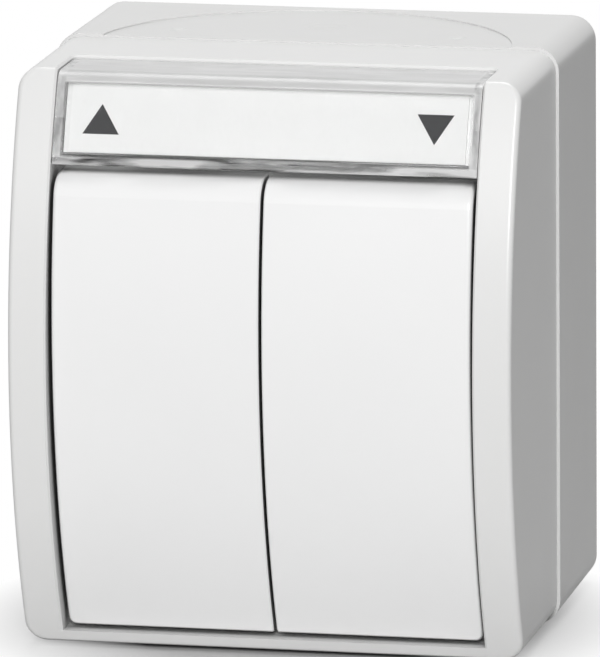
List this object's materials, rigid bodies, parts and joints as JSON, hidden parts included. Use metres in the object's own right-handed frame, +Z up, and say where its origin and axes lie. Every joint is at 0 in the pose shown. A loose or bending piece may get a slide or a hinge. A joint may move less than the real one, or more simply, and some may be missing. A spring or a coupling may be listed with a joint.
{
  "type": "wall switch",
  "caption": "Splash-proof surface-mounted shutter switch: moulded box, bulging front, two tall rockers and a clear label window over an up and a down arrow.",
  "frame": {"origin": "centre of the flat back face that lies on the wall", "axes": "+Y into the wall, +X right and +Z up as seen by someone facing the switch"},
  "size_m": [0.075, 0.064, 0.086],
  "materials": {
    "white_gloss": "satin-gloss white moulding",
    "white_rocker": "smooth gloss white moulding",
    "clear_window": "clear moulded plastic",
    "label_paper": "matt white card with dark print",
    "seal_rubber": "matt soft rubber",
    "grommet_rubber": "matt soft grey rubber",
    "grey_insert": "matt moulded grey",
    "frame_plastic": "matt moulded pale grey",
    "toggle_plastic": "matt moulded white",
    "contact_brass": "bright stamped brass",
    "terminal_brass": "nickel-tinted brass",
    "screw_steel": "zinc-plated steel",
    "spring_steel": "bright spring wire",
    "plunger_plastic": "natural low-friction plastic"
  },
  "bodies": {
    "housing": {"base_box": "white_gloss", "front_cover": "white_gloss", "cover_seal": "seal_rubber", "rear_grommet": "grommet_rubber", "insert_body": "grey_insert", "bearing_frame": "frame_plastic", "frame_seal": "seal_rubber", "common_contact_bar": "contact_brass", "left_fixed_contact": "contact_brass", "right_fixed_contact": "contact_brass", "terminal_clamp_top_left": "terminal_brass", "terminal_clamp_top_right": "terminal_brass", "terminal_clamp_bottom_left": "terminal_brass", "terminal_clamp_bottom_right": "terminal_brass", "terminal_screws": "screw_steel", "insert_screws": "screw_steel", "cover_screws": "screw_steel", "label_card": "label_paper"},
    "left_rocker_body": {"left_rocker": "white_rocker", "left_toggle": "toggle_plastic", "left_spring": "spring_steel"},
    "right_rocker_body": {"right_rocker": "white_rocker", "right_toggle": "toggle_plastic", "right_spring": "spring_steel"},
    "left_plunger_body": {"left_plunger": "plunger_plastic"},
    "right_plunger_body": {"right_plunger": "plunger_plastic"},
    "left_contact_body": {"left_contact_arm": "contact_brass"},
    "right_contact_body": {"right_contact_arm": "contact_brass"},
    "window_body": {"label_window": "clear_window"}
  },
  "joints": [
    {"name": "left_rocker_tilt", "type": "hinge", "parent": "housing", "child": "left_rocker_body", "pos_m": [-0.0108, -0.05, -0.006], "axis": [-1, 0, 0], "range_deg": [0, 4]},
    {"name": "left_plunger_slide", "type": "slide", "parent": "left_rocker_body", "child": "left_plunger_body", "axis": [0, -0.9994, -0.0349], "range_m": [0, 0.0008], "stiffness_N_per_m": 200, "deforming": ["left_spring"]},
    {"name": "left_contact_tilt", "type": "hinge", "parent": "housing", "child": "left_contact_body", "pos_m": [-0.0108, -0.0366, -0.006], "axis": [1, 0, 0], "range_deg": [0, 10]},
    {"name": "right_rocker_tilt", "type": "hinge", "parent": "housing", "child": "right_rocker_body", "pos_m": [0.0108, -0.05, -0.006], "axis": [-1, 0, 0], "range_deg": [0, 4]},
    {"name": "right_plunger_slide", "type": "slide", "parent": "right_rocker_body", "child": "right_plunger_body", "axis": [0, -0.9994, -0.0349], "range_m": [0, 0.0008], "stiffness_N_per_m": 200, "deforming": ["right_spring"]},
    {"name": "right_contact_tilt", "type": "hinge", "parent": "housing", "child": "right_contact_body", "pos_m": [0.0108, -0.0366, -0.006], "axis": [1, 0, 0], "range_deg": [0, 10]},
    {"name": "window_pull", "type": "slide", "parent": "housing", "child": "window_body", "axis": [0, -1, 0], "range_m": [0, 0.012]}
  ],
  "couplings": [
    {"joint": "left_contact_tilt", "follows": "left_rocker_tilt", "ratio": 2.5},
    {"joint": "right_contact_tilt", "follows": "right_rocker_tilt", "ratio": 2.5}
  ]
}
